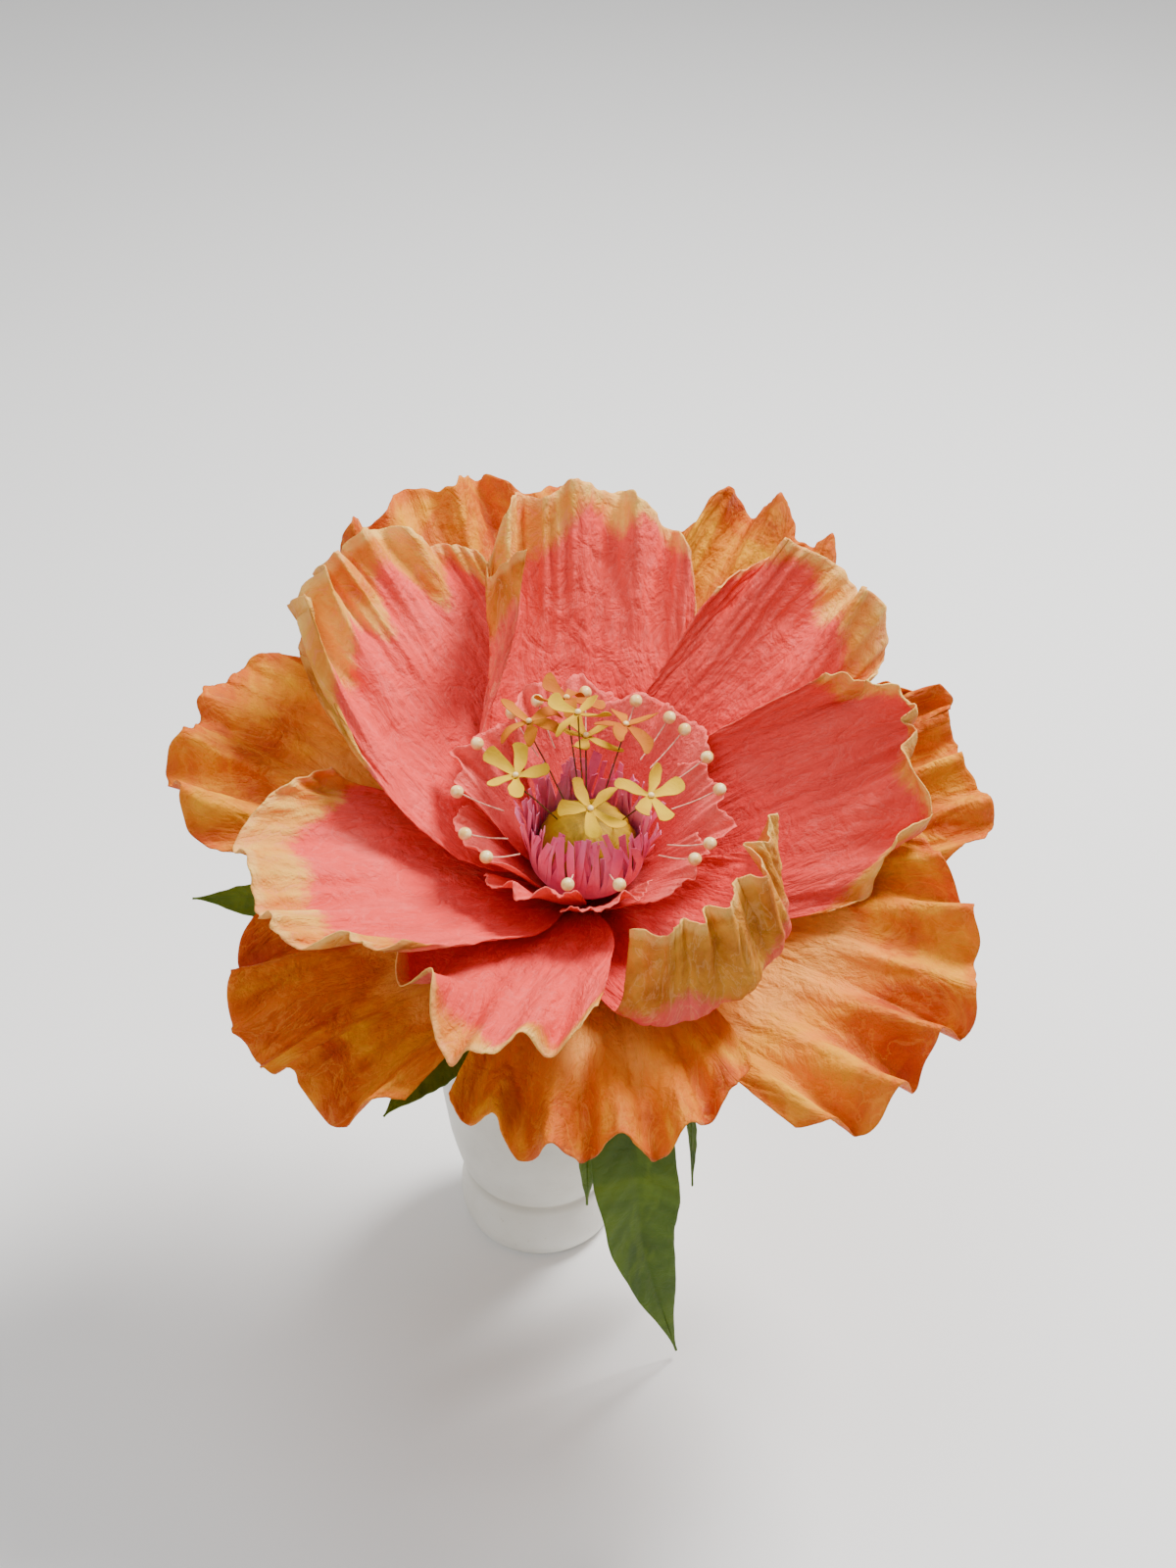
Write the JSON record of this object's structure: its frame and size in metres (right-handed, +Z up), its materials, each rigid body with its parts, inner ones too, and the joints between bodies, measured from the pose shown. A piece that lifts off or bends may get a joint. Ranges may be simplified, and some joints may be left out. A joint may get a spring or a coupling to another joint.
{
  "type": "paper flower",
  "caption": "Large open peony-like flower cut and folded from dyed paper, with ruffled petals, a seed pod, stamens and hanging leaves, in a small turned vase.",
  "frame": {"origin": "middle of the vase's flat foot, on the surface it stands on", "axes": "+Z up, -Y to the front that the flower leans toward, +X to the right seen from the front"},
  "size_m": [0.2987, 0.252, 0.3227],
  "materials": {
    "coral_paper": "matte, crinkled, cream at the rim",
    "orange_paper": "matte, crinkled, deep orange at the rim",
    "salmon_paper": "matte, pinked edge",
    "magenta_paper": "matte, cut into strips",
    "mustard_paper": "matte",
    "yellow_paper": "matte",
    "cream_bead": "satin",
    "green_paper": "matte",
    "white_ceramic": "matte"
  },
  "bodies": {
    "root": {"vase": "white_ceramic", "stem": "green_paper", "calyx": "green_paper", "core": "green_paper", "pod": "mustard_paper", "fringe_inner": "magenta_paper", "fringe_outer": "magenta_paper", "outer_petal_1": "orange_paper", "outer_petal_2": "orange_paper", "outer_petal_3": "orange_paper", "outer_petal_4": "orange_paper", "outer_petal_5": "orange_paper", "outer_petal_6": "orange_paper", "outer_petal_7": "orange_paper", "inner_petal_1": "coral_paper", "inner_petal_2": "coral_paper", "inner_petal_3": "coral_paper", "inner_petal_4": "coral_paper", "inner_petal_5": "coral_paper", "inner_petal_6": "coral_paper", "inner_petal_7": "coral_paper", "small_petal_1": "salmon_paper", "small_petal_2": "salmon_paper", "small_petal_3": "salmon_paper", "small_petal_4": "salmon_paper", "small_petal_5": "salmon_paper", "small_petal_6": "salmon_paper", "small_petal_7": "salmon_paper", "small_petal_8": "salmon_paper", "stamen_01": "cream_bead", "stamen_02": "cream_bead", "stamen_03": "cream_bead", "stamen_04": "cream_bead", "stamen_05": "cream_bead", "stamen_06": "cream_bead", "stamen_07": "cream_bead", "stamen_08": "cream_bead", "stamen_09": "cream_bead", "stamen_10": "cream_bead", "stamen_11": "cream_bead", "stamen_12": "cream_bead", "stamen_13": "cream_bead", "stamen_14": "cream_bead", "stamen_15": "cream_bead", "stamen_16": "cream_bead", "floret_1": "yellow_paper", "floret_2": "yellow_paper", "floret_3": "yellow_paper", "floret_4": "yellow_paper", "floret_5": "yellow_paper", "floret_6": "yellow_paper", "floret_7": "yellow_paper", "floret_8": "yellow_paper", "leaf_1": "green_paper", "leaf_2": "green_paper", "leaf_3": "green_paper", "leaf_4": "green_paper", "leaf_5": "green_paper"}
  },
  "joints": []
}
